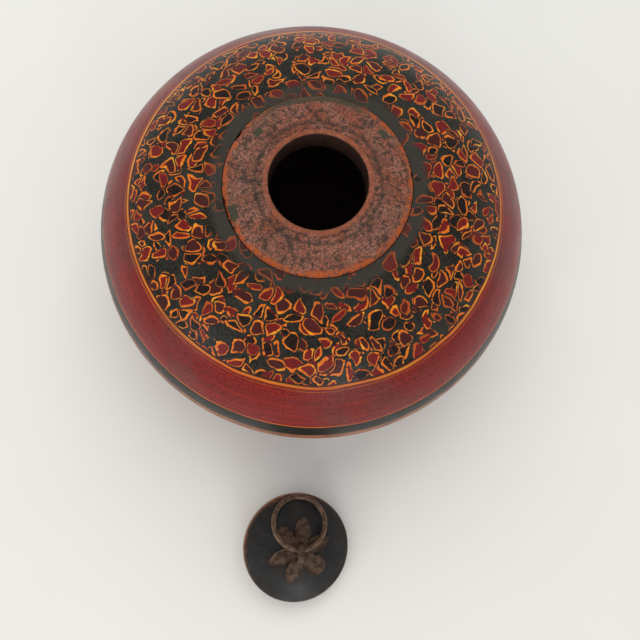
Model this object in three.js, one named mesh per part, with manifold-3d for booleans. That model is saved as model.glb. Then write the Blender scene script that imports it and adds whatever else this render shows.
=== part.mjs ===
// Round lidded box of turned, lacquered wood, with its small lid lying beside it.
// Millimetres, +Z up. The origin is the centre of the flat foot, on the surface that it stands on.
import * as THREE from 'three';
import { mergeVertices } from 'three/addons/utils/BufferGeometryUtils.js';
import Module from 'manifold-3d';

// Body: two turned halves that meet at the belly
const BELLY_RADIUS = 100;
const BELLY_HEIGHT = 54;
const WALL = 9;
const SHOULDER_RISE = 56.6;
const SHOULDER_POWERS = [2.93, 1.56];
const BOWL_DEPTH = 58;
const BOWL_POWERS = [2.6, 1.7];
const FLOOR_THICKNESS = 11;
const TONGUE_HEIGHT = 5;
const TONGUE_THICKNESS = 4.5;

// Collar: ring let into the top of the shoulder, round the mouth
const COLLAR_RADIUS = 38.5;
const COLLAR_STEP = 1.5;
const COLLAR_EDGE = 2;
const COLLAR_INSET = 2.5;
const NECK_WALL = 9.7;
const MOUTH_RADIUS = 20;
const BEAD_WIDTH = 3;
const BEAD_HEIGHT = 0.8;

// Lid: domed disc with a plug
const LID_RADIUS = 26.4;
const LID_FLANK = 3.8;
const LID_EDGE = 1.4;
const DOME_RISE = 6.4;
const PLUG_CLEARANCE = 1.2;
const PLUG_DEPTH = 4.5;
const SEAT_WIDTH = 1.6;
const SEAT_RELIEF = 1;
const LID_PLACE = [27.6, -150.3];
const LID_TURN = 13;
const LEAN_DIRECTION = -13;

// Metal fittings of the lid
const ROSETTE_RADIUS = 16;
const ROSETTE_VALLEY = 6.5;
const ROSETTE_TURN = 18;
const ROSETTE_THICKNESS = 0.8;
const PETALS = 6;
const PIN_WIDTH = 3;
const PIN_THICKNESS = 0.9;
const LEG_GAP = 0.4;
const EYE_LENGTH = 10;
const LEG_SPREAD = 8;
const LEG_DROP = 3;
const LEG_BULGE = 1.4;
const RING_RADIUS = 12.7;
const RING_WIRE = 2.6;
const RING_SEAM = 0.4;
const RING_SEAM_ANGLE = 120;
const PIVOT_OFFSET = 1.3;

// Clearances
const SEAT_GAP = 0.3;
const BORE_CLEARANCE = 0.35;
const EYE_CLEARANCE = 0.6;

// Facets
const BODY_SIDES = 64;
const LID_SIDES = 48;
const WIRE_SIDES = 9;
const WIRE_STEPS = 44;

// What follows from the sizes above
const INNER_RADIUS = BELLY_RADIUS - WALL;
const INNER_RISE = SHOULDER_RISE - WALL;
const NECK_RADIUS = MOUTH_RADIUS + NECK_WALL;
const NECK_HOLE = NECK_RADIUS + SEAT_GAP;
const RECESS_RADIUS = COLLAR_RADIUS + SEAT_GAP;
const PLUG_RADIUS = MOUTH_RADIUS - PLUG_CLEARANCE;
const DOME_EDGE = LID_RADIUS - LID_EDGE;
const DOME_RADIUS = (DOME_EDGE ** 2 + DOME_RISE ** 2) / (2 * DOME_RISE);
const DOME_TOP = LID_FLANK + LID_EDGE + DOME_RISE;
const DOME_CENTRE = DOME_TOP - DOME_RADIUS;
const ROSETTE_TOP = DOME_TOP + SEAT_GAP + ROSETTE_THICKNESS;
const LEG_LINE = (LEG_GAP + PIN_THICKNESS) / 2;
const PIN_BORE = Math.hypot(PIN_WIDTH / 2, LEG_LINE + PIN_THICKNESS / 2) + BORE_CLEARANCE;
const EYE_FLOOR = ROSETTE_TOP + SEAT_GAP + PIN_THICKNESS / 2;
const EYE_HALF_HEIGHT = (RING_WIRE + 2 * EYE_CLEARANCE + PIN_THICKNESS) / 2;
const PIVOT_HEIGHT = EYE_FLOOR + EYE_HALF_HEIGHT;

const { Manifold, Mesh } = await loadSolids();

async function loadSolids() {
  const wasm = await Module();
  wasm.setup();
  return wasm;
}

// Height of a superellipse of revolution at a radius
function heightAt(r, radius, rise, [p, q]) {
  return rise * (1 - (r / radius) ** p) ** (1 / q);
}

// Points of that curve between two heights, evenly spread along the sweep angle
function curvePoints(fromZ, toZ, radius, rise, powers, steps) {
  const [p, q] = powers;
  const angle = (z) => Math.asin(Math.min(1, Math.abs(z / rise) ** (q / 2)));
  const side = Math.sign(fromZ + toZ);
  const points = [];
  for (let i = 0; i <= steps; i += 1) {
    const t = THREE.MathUtils.lerp(angle(fromZ), angle(toZ), i / steps);
    const r = radius * Math.max(0, Math.cos(t)) ** (2 / p);
    points.push([r, side * rise * Math.sin(t) ** (2 / q)]);
  }
  return points;
}

// Arc of a circle in the profile plane, angles in degrees from the radial direction
function arcPoints(centre, radius, from, to, steps) {
  const points = [];
  for (let i = 0; i <= steps; i += 1) {
    const a = THREE.MathUtils.degToRad(THREE.MathUtils.lerp(from, to, i / steps));
    points.push([centre[0] + radius * Math.cos(a), centre[1] + radius * Math.sin(a)]);
  }
  return points;
}

// Closed solid from any closed geometry, with its faces pointing out
function solid(geometry) {
  geometry.deleteAttribute('normal');
  geometry.deleteAttribute('uv');
  const merged = mergeVertices(geometry, 1e-4);
  const position = merged.getAttribute('position');
  const index = merged.getIndex().array;
  const corners = [0, 1, 2].map(() => new THREE.Vector3());
  const triangles = [];
  let volume = 0;
  for (let i = 0; i < index.length; i += 3) {
    const [a, b, c] = index.slice(i, i + 3);
    if (a !== b && b !== c && c !== a) {
      triangles.push([a, b, c]);
      [a, b, c].forEach((vertex, k) => corners[k].fromBufferAttribute(position, vertex));
      volume += corners[0].dot(corners[1].clone().cross(corners[2]));
    }
  }
  const order = volume < 0 ? [0, 2, 1] : [0, 1, 2];
  const triVerts = new Uint32Array(triangles.flatMap((t) => order.map((k) => t[k])));
  const vertProperties = new Float32Array(position.array);
  return new Manifold(new Mesh({ numProp: 3, vertProperties, triVerts }));
}

function geometryOf(body) {
  const mesh = body.getMesh();
  const geometry = new THREE.BufferGeometry();
  geometry.setAttribute('position', new THREE.BufferAttribute(mesh.vertProperties, 3));
  geometry.setIndex(new THREE.BufferAttribute(mesh.triVerts, 1));
  geometry.computeVertexNormals();
  return geometry;
}

// Solid turned about +Z from a profile of [radius, height] points; a ring closes on itself
function turned(profile, sides, closed) {
  const points = profile.map(([r, z]) => new THREE.Vector2(r, z));
  if (closed) points.push(points[0].clone());
  return solid(new THREE.LatheGeometry(points, sides).rotateX(Math.PI / 2));
}

function piece(name, body, material) {
  const mesh = new THREE.Mesh(geometryOf(body), new THREE.MeshStandardMaterial(material));
  mesh.name = name;
  return mesh;
}

// Bowl: lower half, flat foot below, tongue round the inside of its rim
function makeBowl() {
  const tongueOuter = INNER_RADIUS + TONGUE_THICKNESS;
  const innerDepth = BELLY_HEIGHT - FLOOR_THICKNESS;
  const profile = [
    [0, -BELLY_HEIGHT],
    ...curvePoints(-BELLY_HEIGHT, -0, BELLY_RADIUS, BOWL_DEPTH, BOWL_POWERS, 13),
    [tongueOuter, 0],
    [tongueOuter, TONGUE_HEIGHT],
    [INNER_RADIUS, TONGUE_HEIGHT],
    ...curvePoints(-0, -innerDepth, INNER_RADIUS, innerDepth, BOWL_POWERS, 11),
  ];
  return turned(profile, BODY_SIDES, false);
}

// Shoulder: upper half, grooved below for the tongue, recessed above for the collar
function makeShoulder() {
  const grooveRadius = INNER_RADIUS + TONGUE_THICKNESS + SEAT_GAP;
  const grooveTop = TONGUE_HEIGHT + SEAT_GAP;
  const rimZ = heightAt(RECESS_RADIUS, BELLY_RADIUS, SHOULDER_RISE, SHOULDER_POWERS);
  const neckZ = heightAt(NECK_HOLE, INNER_RADIUS, INNER_RISE, SHOULDER_POWERS);
  const profile = [
    ...curvePoints(SEAT_GAP, rimZ, BELLY_RADIUS, SHOULDER_RISE, SHOULDER_POWERS, 14),
    [RECESS_RADIUS, rimZ - COLLAR_INSET],
    [NECK_HOLE, rimZ - COLLAR_INSET],
    ...curvePoints(neckZ, grooveTop, INNER_RADIUS, INNER_RISE, SHOULDER_POWERS, 9),
    [grooveRadius, grooveTop],
    [grooveRadius, SEAT_GAP],
  ];
  return turned(profile, BODY_SIDES, true);
}

// Height of the collar's top at a radius: the shoulder's own sweep, raised by the step
function collarTop(r) {
  return heightAt(r, BELLY_RADIUS, SHOULDER_RISE, SHOULDER_POWERS) + COLLAR_STEP;
}

// Collar: flange with a rounded edge, bead round the mouth, neck through the shoulder
function makeCollar() {
  const rimZ = heightAt(RECESS_RADIUS, BELLY_RADIUS, SHOULDER_RISE, SHOULDER_POWERS);
  const seatZ = rimZ - COLLAR_INSET + SEAT_GAP;
  const neckZ = heightAt(NECK_HOLE, INNER_RADIUS, INNER_RISE, SHOULDER_POWERS);
  const edgeCentre = COLLAR_RADIUS - COLLAR_EDGE;
  const beadOuter = MOUTH_RADIUS + BEAD_WIDTH;
  const beadMiddle = MOUTH_RADIUS + BEAD_WIDTH / 2;
  const topSteps = 4;
  const top = [];
  for (let i = 1; i <= topSteps; i += 1) {
    const r = THREE.MathUtils.lerp(edgeCentre, beadOuter, i / topSteps);
    top.push([r, collarTop(r)]);
  }
  const beadZ = collarTop(beadMiddle);
  const bead = [50, 90, 130, 165].map((degrees) => {
    const a = THREE.MathUtils.degToRad(degrees);
    return [beadMiddle + Math.cos(a) * BEAD_WIDTH / 2, beadZ + Math.sin(a) * BEAD_HEIGHT];
  });
  const profile = [
    [NECK_RADIUS, neckZ],
    [NECK_RADIUS, seatZ],
    [COLLAR_RADIUS, seatZ],
    ...arcPoints([edgeCentre, collarTop(edgeCentre) - COLLAR_EDGE], COLLAR_EDGE, 0, 90, 4),
    ...top,
    ...bead,
    [MOUTH_RADIUS, beadZ - BEAD_HEIGHT],
    [MOUTH_RADIUS, neckZ],
  ];
  return turned(profile, BODY_SIDES, true);
}

// Points of the dome's circle, raised by an offset, between two radii
function domePoints(offset, fromR, toR, steps) {
  const radius = DOME_RADIUS + offset;
  const points = [];
  for (let i = 0; i <= steps; i += 1) {
    const r = THREE.MathUtils.lerp(fromR, toR, i / steps);
    points.push([r, DOME_CENTRE + Math.sqrt(radius ** 2 - r ** 2)]);
  }
  return points;
}

// Lid disc: dome, rounded edge, seat ring, relief for the bead, plug, and a bore for the pin
function makeLidDisc() {
  const seatOuter = LID_RADIUS - LID_EDGE;
  const seatInner = seatOuter - SEAT_WIDTH;
  const profile = [
    ...domePoints(0, PIN_BORE, DOME_EDGE, 8),
    ...arcPoints([DOME_EDGE, LID_FLANK], LID_EDGE, 65, 0, 3),
    [LID_RADIUS, LID_EDGE],
    [seatOuter, 0],
    [seatInner, 0],
    [seatInner, SEAT_RELIEF],
    [PLUG_RADIUS, SEAT_RELIEF],
    [PLUG_RADIUS, -PLUG_DEPTH],
    [PIN_BORE, -PLUG_DEPTH],
  ];
  return turned(profile, LID_SIDES, true);
}

// Rosette: sheet formed over the dome, cut to six petals
function makeRosette() {
  const blank = turned([
    ...domePoints(SEAT_GAP, PIN_BORE, ROSETTE_RADIUS + 1, 7),
    ...domePoints(SEAT_GAP + ROSETTE_THICKNESS, ROSETTE_RADIUS + 1, PIN_BORE, 7),
  ], LID_SIDES, true);
  const pointsPerPetal = 12;
  const outline = new THREE.Shape();
  for (let i = 0; i < PETALS * pointsPerPetal; i += 1) {
    const turn = (i / (PETALS * pointsPerPetal)) * 2 * Math.PI;
    const swell = Math.abs(Math.cos((PETALS / 2) * turn));
    const a = turn + THREE.MathUtils.degToRad(ROSETTE_TURN);
    const r = THREE.MathUtils.lerp(ROSETTE_VALLEY, ROSETTE_RADIUS, swell);
    if (i === 0) outline.moveTo(r * Math.cos(a), r * Math.sin(a));
    else outline.lineTo(r * Math.cos(a), r * Math.sin(a));
  }
  const cutter = new THREE.ExtrudeGeometry(outline, { depth: 2 * DOME_TOP, bevelEnabled: false });
  return blank.intersect(solid(cutter));
}

// Centre line of one half of the folded strip, in the plane of the eye, from the middle of
// the eye's top down to the tip of one leg
function pinHalfLine() {
  const endCentre = EYE_LENGTH / 2 - PIN_THICKNESS / 2 - EYE_HALF_HEIGHT;
  const eye = arcPoints([endCentre, PIVOT_HEIGHT], EYE_HALF_HEIGHT, 90, -90, 8);
  const lowest = -PLUG_DEPTH - LEG_DROP + PIN_THICKNESS / 2;
  const tipZ = -PLUG_DEPTH - SEAT_GAP - PIN_THICKNESS / 2;
  const bend = PIN_THICKNESS;
  const throat = arcPoints([LEG_LINE + bend, EYE_FLOOR - bend], bend, 90, 180, 4);
  const leg = new THREE.SplineCurve([
    new THREE.Vector2(LEG_LINE, -PLUG_DEPTH + SEAT_GAP),
    new THREE.Vector2(LEG_LINE + 0.2, lowest + 1.1),
    new THREE.Vector2(LEG_LINE + LEG_BULGE, lowest),
    new THREE.Vector2(LEG_SPREAD * 0.55, THREE.MathUtils.lerp(lowest, tipZ, 0.4)),
    new THREE.Vector2(LEG_SPREAD, tipZ),
  ]).getPoints(14).map((point) => [point.x, point.y]);
  return [[0, PIVOT_HEIGHT + EYE_HALF_HEIGHT], ...eye, ...throat, ...leg];
}

// Outline of a strip of even thickness along a centre line
function stripOutline(line, thickness) {
  const points = line.map(([y, z]) => new THREE.Vector2(y, z));
  const sides = [1, -1].map((side) => points.map((point, i) => {
    const before = points[Math.max(0, i - 1)];
    const after = points[Math.min(points.length - 1, i + 1)];
    const along = after.clone().sub(before).normalize();
    const across = new THREE.Vector2(-along.y, along.x).multiplyScalar((side * thickness) / 2);
    return point.clone().add(across);
  }));
  return new THREE.Shape([...sides[0], ...sides[1].reverse()]);
}

// Split pin: one strip folded into an eye, its legs through the lid and spread below the plug
function makeSplitPin() {
  const half = pinHalfLine();
  const other = half.slice(1).map(([y, z]) => [-y, z]).reverse();
  const outline = stripOutline([...other, ...half], PIN_THICKNESS);
  const strip = new THREE.ExtrudeGeometry(outline, { depth: PIN_WIDTH, bevelEnabled: false });
  strip.translate(0, 0, -PIN_WIDTH / 2);
  strip.rotateX(Math.PI / 2);
  strip.rotateZ(Math.PI / 2);
  return solid(strip);
}

// Arc that the ring's wire follows, open by the width of its butt seam
class RingLine extends THREE.Curve {
  getPoint(t) {
    const open = RING_SEAM / RING_RADIUS;
    const start = THREE.MathUtils.degToRad(RING_SEAM_ANGLE) + open / 2;
    const a = start + t * (2 * Math.PI - open);
    return new THREE.Vector3(
      RING_RADIUS * Math.cos(a),
      RING_RADIUS * (1 + Math.sin(a)),
      0,
    );
  }
}

function makeRingPull() {
  const wire = new THREE.Shape();
  for (let i = 0; i < WIRE_SIDES; i += 1) {
    const a = ((i + 0.5) / WIRE_SIDES) * 2 * Math.PI;
    const x = (RING_WIRE / 2) * Math.cos(a);
    const y = (RING_WIRE / 2) * Math.sin(a);
    if (i === 0) wire.moveTo(x, y);
    else wire.lineTo(x, y);
  }
  const options = { steps: WIRE_STEPS, bevelEnabled: false, extrudePath: new RingLine() };
  return solid(new THREE.ExtrudeGeometry(wire, options));
}

// Angle below level at which the ring, lying to one side (+1 or -1), comes to rest on the lid
function ringSlope(side) {
  const sheet = SEAT_GAP + ROSETTE_THICKNESS;
  const least = SEAT_GAP + RING_WIRE / 2;
  const line = new RingLine();
  const clear = (slope) => {
    for (const point of line.getPoints(WIRE_STEPS)) {
      const y = PIVOT_OFFSET + side * point.y * Math.cos(slope);
      const z = PIVOT_HEIGHT - point.y * Math.sin(slope);
      const onSheet = Math.hypot(point.x, y) < ROSETTE_RADIUS + RING_WIRE / 2;
      const surface = DOME_RADIUS + (onSheet ? sheet : 0);
      if (Math.hypot(point.x, y, z - DOME_CENTRE) < surface + least) return false;
    }
    return true;
  };
  let low = 0;
  let high = Math.PI / 3;
  for (let i = 0; i < 30; i += 1) {
    const middle = (low + high) / 2;
    if (clear(middle)) low = middle;
    else high = middle;
  }
  return low;
}

const LACQUER = { color: 0x3a1512, roughness: 0.42, metalness: 0 };
const RED_LACQUER = { color: 0x6e1f1a, roughness: 0.4, metalness: 0 };
const COLLAR_LACQUER = { color: 0x8a4a33, roughness: 0.6, metalness: 0 };
const LID_LACQUER = { color: 0x231c19, roughness: 0.45, metalness: 0 };
const OLD_METAL = { color: 0x4a3c33, roughness: 0.5, metalness: 0.8 };

// Angle at which the lid, standing on the legs of its pin, leans until the plug touches down
function lidTilt() {
  const aside = THREE.MathUtils.degToRad(LEAN_DIRECTION - LID_TURN);
  const alongStrip = (LEG_LINE + LEG_BULGE) * Math.abs(Math.sin(aside));
  const legReach = (PIN_WIDTH / 2) * Math.abs(Math.cos(aside)) + alongStrip;
  return Math.atan(LEG_DROP / (PLUG_RADIUS - legReach));
}

function placedLid() {
  const lid = new THREE.Group();
  lid.add(piece('lid_disc', makeLidDisc(), LID_LACQUER));
  lid.add(piece('rosette', makeRosette(), OLD_METAL));
  lid.add(piece('split_pin', makeSplitPin(), OLD_METAL));
  const ring = piece('ring_pull', makeRingPull(), OLD_METAL);
  ring.position.set(0, PIVOT_OFFSET, PIVOT_HEIGHT);
  ring.rotation.x = -ringSlope(1);
  lid.add(ring);
  lid.rotation.z = THREE.MathUtils.degToRad(LID_TURN);
  const tilt = lidTilt();
  const lean = THREE.MathUtils.degToRad(LEAN_DIRECTION);
  const leaning = new THREE.Group();
  leaning.add(lid);
  leaning.quaternion.setFromAxisAngle(new THREE.Vector3(-Math.sin(lean), Math.cos(lean), 0), tilt);
  const rise = PLUG_RADIUS * Math.sin(tilt) + PLUG_DEPTH * Math.cos(tilt);
  leaning.position.set(LID_PLACE[0], LID_PLACE[1], rise);
  return leaning;
}

function standingBody() {
  const body = new THREE.Group();
  body.add(piece('bowl', makeBowl(), RED_LACQUER));
  body.add(piece('shoulder', makeShoulder(), LACQUER));
  body.add(piece('collar', makeCollar(), COLLAR_LACQUER));
  body.position.z = BELLY_HEIGHT;
  return body;
}

const box = new THREE.Group();
box.add(standingBody(), placedLid());

export default box;
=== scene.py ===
"""Round lidded box of turned wood with spotted and banded lacquer, its lid lying beside it."""
import math

import bpy
from mathutils import Matrix, Vector, noise


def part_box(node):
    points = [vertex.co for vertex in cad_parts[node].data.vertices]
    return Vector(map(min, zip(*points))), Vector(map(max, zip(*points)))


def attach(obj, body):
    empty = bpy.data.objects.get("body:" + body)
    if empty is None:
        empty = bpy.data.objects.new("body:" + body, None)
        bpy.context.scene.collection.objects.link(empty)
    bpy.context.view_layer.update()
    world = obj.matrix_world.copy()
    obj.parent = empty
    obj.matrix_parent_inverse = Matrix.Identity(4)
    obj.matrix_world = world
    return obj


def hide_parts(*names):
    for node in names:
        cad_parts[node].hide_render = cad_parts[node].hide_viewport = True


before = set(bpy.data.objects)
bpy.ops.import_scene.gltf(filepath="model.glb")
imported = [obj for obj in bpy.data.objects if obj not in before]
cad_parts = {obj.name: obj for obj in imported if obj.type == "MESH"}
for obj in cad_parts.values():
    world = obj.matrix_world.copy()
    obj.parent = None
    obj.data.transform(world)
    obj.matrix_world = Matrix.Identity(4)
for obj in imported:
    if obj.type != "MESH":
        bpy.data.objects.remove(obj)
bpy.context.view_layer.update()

bl_info = {
    "name": "Round Lidded Box",
    "version": (1, 0, 0),
    "blender": (4, 5, 0),
    "location": "View3D > Sidebar > Lidded Box",
    "description": "Builds a turned, lacquered box with a loose domed lid",
    "category": "Add Mesh",
}

MM = 0.001

# Profile of the body: powers of its curves, and what the frame does not tell
SHOULDER_POWERS = (2.93, 1.56)
BOWL_POWERS = (2.6, 1.7)
SHOULDER_RISE = 56.6 * MM
BOWL_DEPTH = 58 * MM
WALL = 9 * MM
FLOOR_THICKNESS = 11 * MM
TONGUE = (4.5 * MM, 5 * MM)
SEAT_GAP = 0.3 * MM
COLLAR_STEP = 1.5 * MM
COLLAR_EDGE = 2 * MM
COLLAR_INSET = 2.5 * MM
NECK_WALL = 9.7 * MM
BEAD = (3 * MM, 0.8 * MM)

# Lid and its fittings
LID_PLACE = (27.6 * MM, -150.3 * MM)
LID_TURN = math.radians(13)
LEAN_DIRECTION = math.radians(-13)
LID_RADIUS = 26.4 * MM
LID_FLANK = 3.8 * MM
LID_EDGE = 1.4 * MM
DOME_RISE = 6.4 * MM
PLUG_RADIUS = 18.8 * MM
PLUG_DEPTH = 4.5 * MM
SEAT_WIDTH = 1.6 * MM
SEAT_RELIEF = 1 * MM
PIN_BORE = 2.2 * MM
ROSETTE_THICKNESS = 0.8 * MM
ROSETTE_VALLEY = 6.5 * MM
ROSETTE_TURN = math.radians(18)
PETALS = ((2, 16.2, 1.05), (4, 16.2, 1.35), (-8, 15.0, 1.5), (5, 16.3, 1.1), (-4, 16.2, 1.1),
          (3, 15.8, 2.6))
PIN_WIDTH = 3 * MM
PIN_THICKNESS = 0.9 * MM
LEG_LINE = 0.65 * MM
LEG_SPREAD = 8 * MM
LEG_DROP = 3 * MM
LEG_BULGE = 1.4 * MM
EYE_LENGTH = 10 * MM
RING_RADIUS = 12.7 * MM
RING_WIRE = 1.3 * MM
RING_SEAM = 0.4 * MM
RING_SEAM_ANGLE = math.radians(120)
RING_SLOPE = math.radians(20.37)
PIVOT_OFFSET = 1.3 * MM

DOME_EDGE = LID_RADIUS - LID_EDGE
DOME_RADIUS = (DOME_EDGE ** 2 + DOME_RISE ** 2) / (2 * DOME_RISE)
DOME_TOP = LID_FLANK + LID_EDGE + DOME_RISE
DOME_CENTRE = DOME_TOP - DOME_RADIUS
ROSETTE_TOP = DOME_TOP + SEAT_GAP + ROSETTE_THICKNESS
EYE_FLOOR = ROSETTE_TOP + SEAT_GAP + PIN_THICKNESS / 2
EYE_HALF_HEIGHT = 2.35 * MM
PIVOT_HEIGHT = EYE_FLOOR + EYE_HALF_HEIGHT

# Bands of the body, as heights above or below the belly in millimetres
SPOT_EDGE = 35.2
ORANGE_LINE = 15.1
TAN_EDGE = 7.0
LINE_HALF = 0.25
SPOT_PITCH = 7.5

# Worn places of the collar's edge: angle, half width in degrees, depth in millimetres
COLLAR_CHIPS = ((-139, 4, 0.9), (-147, 6, 1.3), (-155, 4, 1.0), (161, 4, 1.0), (20, 2.5, 0.6),
                (-60, 3, 0.5), (-98, 2, 0.6))
LACQUER_LAP = (106, 34)

# Camera: what the photograph's perspective gives
CAMERA_PLACE = (0.0134, -0.1039, 0.3757)
CAMERA_RIGHT = (0.9726, 0.2284, 0.0429)
CAMERA_UP = (-0.2324, 0.9559, 0.1797)
CAMERA_LENS = 39.375


def lid_matrix():
    """Place of the lid: turned, leaning on its pin's legs until the plug touches down."""
    aside = LEAN_DIRECTION - LID_TURN
    reach = PIN_WIDTH / 2 * abs(math.cos(aside)) + (LEG_LINE + LEG_BULGE) * abs(math.sin(aside))
    tilt = math.atan(LEG_DROP / (PLUG_RADIUS - reach))
    across = Vector((-math.sin(LEAN_DIRECTION), math.cos(LEAN_DIRECTION), 0))
    rise = PLUG_RADIUS * math.sin(tilt) + PLUG_DEPTH * math.cos(tilt)
    place = Matrix.Translation((*LID_PLACE, rise))
    return place @ Matrix.Rotation(tilt, 4, across) @ Matrix.Rotation(LID_TURN, 4, "Z")


LID = lid_matrix()


class BoxSizes(bpy.types.PropertyGroup):
    """Sizes of the box that a user would change."""

    belly_radius: bpy.props.FloatProperty(
        name="Belly radius", description="Outer radius at the widest place",
        default=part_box("bowl")[1].x, unit="LENGTH")
    belly_height: bpy.props.FloatProperty(
        name="Belly height", description="Height of the widest place above the foot",
        default=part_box("shoulder")[0].z - SEAT_GAP, unit="LENGTH")
    collar_radius: bpy.props.FloatProperty(
        name="Collar radius", description="Outer radius of the ring round the mouth",
        default=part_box("collar")[1].x, unit="LENGTH")
    mouth_radius: bpy.props.FloatProperty(
        name="Mouth radius", description="Radius of the opening", default=20 * MM, unit="LENGTH")
    turned_sides: bpy.props.IntProperty(
        name="Sides", description="Faces round each turned piece", default=256, min=32)


def colour_property(label, description, value):
    return bpy.props.FloatVectorProperty(
        name=label, description=description, default=value, size=3, subtype="COLOR")


class BoxColours(bpy.types.PropertyGroup):
    """Colours of the lacquers, the wood and the metal."""

    black: colour_property("Black", "Greenish black ground of the spots", (0.0085, 0.0082, 0.0062))
    crimson: colour_property("Crimson", "Red of the band and the spots", (0.175, 0.0095, 0.0085))
    orange: colour_property("Orange", "Outlines and lines", (0.66, 0.15, 0.010))
    yellow: colour_property("Yellow", "Brightest outlines", (0.80, 0.33, 0.022))
    tan: colour_property("Tan", "Worn orange-tan belly band", (0.32, 0.115, 0.045))
    brick: colour_property("Brick", "Worn lacquer of the collar", (0.31, 0.078, 0.036))
    wood: colour_property("Wood", "Bare wood inside", (0.085, 0.040, 0.018))
    lid: colour_property("Lid", "Brown-black lacquer of the lid", (0.0115, 0.0112, 0.0118))
    metal: colour_property("Metal", "Aged metal of the fittings", (0.17, 0.105, 0.07))


def sizes():
    return bpy.context.scene.lidded_box_sizes


def colours():
    return bpy.context.scene.lidded_box_colours


class Graph:
    """Short calls that add nodes to one tree and return their outputs."""

    def __init__(self, tree):
        self.tree = tree

    def feed(self, socket, value):
        if isinstance(value, bpy.types.NodeSocket):
            self.tree.links.new(value, socket)
        elif hasattr(value, "__len__") and len(socket.default_value) == 4 and len(value) == 3:
            socket.default_value = (*value, 1)
        else:
            socket.default_value = value

    def add(self, kind, inputs, **settings):
        made = self.tree.nodes.new(kind)
        for name, value in settings.items():
            setattr(made, name, value)
        for name, value in inputs.items():
            self.feed(made.inputs[name], value)
        return made

    def math(self, operation, a, b=0.0):
        return self.add("ShaderNodeMath", {0: a, 1: b}, operation=operation).outputs[0]

    def vector(self, operation, a, b):
        return self.add("ShaderNodeVectorMath", {0: a, 1: b}, operation=operation).outputs[0]

    def times(self, vector, factor):
        node = self.add("ShaderNodeVectorMath", {0: vector, "Scale": factor}, operation="SCALE")
        return node.outputs[0]

    def step(self, value, low, high):
        """0 at low, 1 at high, smooth between them; low may be the larger."""
        inputs = {"Value": value, "From Min": low, "From Max": high}
        return self.add("ShaderNodeMapRange", inputs, interpolation_type="SMOOTHSTEP").outputs[0]

    def noise(self, vector, scale, detail=3.0, roughness=0.55):
        inputs = {"Vector": vector, "Scale": scale, "Detail": detail, "Roughness": roughness}
        return self.add("ShaderNodeTexNoise", inputs).outputs

    def cells(self, vector, scale, feature):
        inputs = {"Vector": vector, "Scale": scale, "Randomness": 0.9}
        return self.add("ShaderNodeTexVoronoi", inputs, feature=feature).outputs

    def mix(self, factor, a, b):
        node = self.tree.nodes.new("ShaderNodeMix")
        node.data_type = "RGBA"
        for socket, value in ((node.inputs[0], factor), (node.inputs[6], a), (node.inputs[7], b)):
            self.feed(socket, value)
        return node.outputs[2]

    def blend(self, factor, a, b):
        node = self.tree.nodes.new("ShaderNodeMix")
        for socket, value in ((node.inputs[0], factor), (node.inputs[2], a), (node.inputs[3], b)):
            self.feed(socket, value)
        return node.outputs[0]

    def use(self, group, **values):
        node = self.tree.nodes.new("ShaderNodeGroup")
        node.node_tree = group
        for name, value in values.items():
            self.feed(node.inputs[name], value)
        return node.outputs


def effect(name, inputs, outputs, build):
    """Shader node group with named sockets, built once and shared by the materials."""
    if name in bpy.data.node_groups:
        return bpy.data.node_groups[name]
    tree = bpy.data.node_groups.new(name, "ShaderNodeTree")
    for label, kind in inputs:
        tree.interface.new_socket(label, in_out="INPUT", socket_type=kind)
    for label, kind in outputs:
        tree.interface.new_socket(label, in_out="OUTPUT", socket_type=kind)
    source = tree.nodes.new("NodeGroupInput")
    sink = tree.nodes.new("NodeGroupOutput")
    build(Graph(tree), source.outputs, sink.inputs)
    return tree


FLOAT = "NodeSocketFloat"
VECTOR = "NodeSocketVector"


def lathe_place():
    """Millimetre point, radius, height and turning coordinate of a point on a turned piece."""
    def build(graph, given, wanted):
        point = graph.times(given["Place"], 1 / MM)
        parts = graph.add("ShaderNodeSeparateXYZ", {0: point}).outputs
        flat = graph.add("ShaderNodeCombineXYZ", {0: parts[0], 1: parts[1]}).outputs[0]
        length = graph.add("ShaderNodeVectorMath", {0: flat}, operation="LENGTH").outputs["Value"]
        around = graph.add("ShaderNodeVectorMath", {0: flat}, operation="NORMALIZE").outputs[0]
        way = graph.add("ShaderNodeSeparateXYZ", {0: around}).outputs
        along = graph.math("SUBTRACT", length, parts[2])
        turn = graph.add("ShaderNodeCombineXYZ", {0: along, 1: way[0], 2: way[1]}).outputs[0]
        for label, value in (("Point", point), ("Radius", length), ("Height", parts[2]),
                             ("Turn", turn)):
            graph.feed(wanted[label], value)
    return effect("lathe_place", [("Place", VECTOR)],
                  [("Point", VECTOR), ("Radius", FLOAT), ("Height", FLOAT), ("Turn", VECTOR)],
                  build)


def turning_streaks():
    """Fine concentric streaks that fade in and out round the piece."""
    def build(graph, given, wanted):
        stretch = graph.vector("MULTIPLY", given["Turn"], (1.0, 0.9, 0.9))
        fine = graph.vector("MULTIPLY", stretch, (2.6, 1.0, 1.0))
        coarse = graph.vector("MULTIPLY", stretch, (0.55, 1.6, 1.6))
        sharp = graph.step(graph.noise(fine, 1.0, 2.0)[0], 0.52, 0.68)
        broad = graph.step(graph.noise(coarse, 1.0, 3.0)[0], 0.42, 0.66)
        graph.feed(wanted["Fine"], sharp)
        graph.feed(wanted["Broad"], broad)
    return effect("turning_streaks", [("Turn", VECTOR)], [("Fine", FLOAT), ("Broad", FLOAT)],
                  build)


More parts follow.
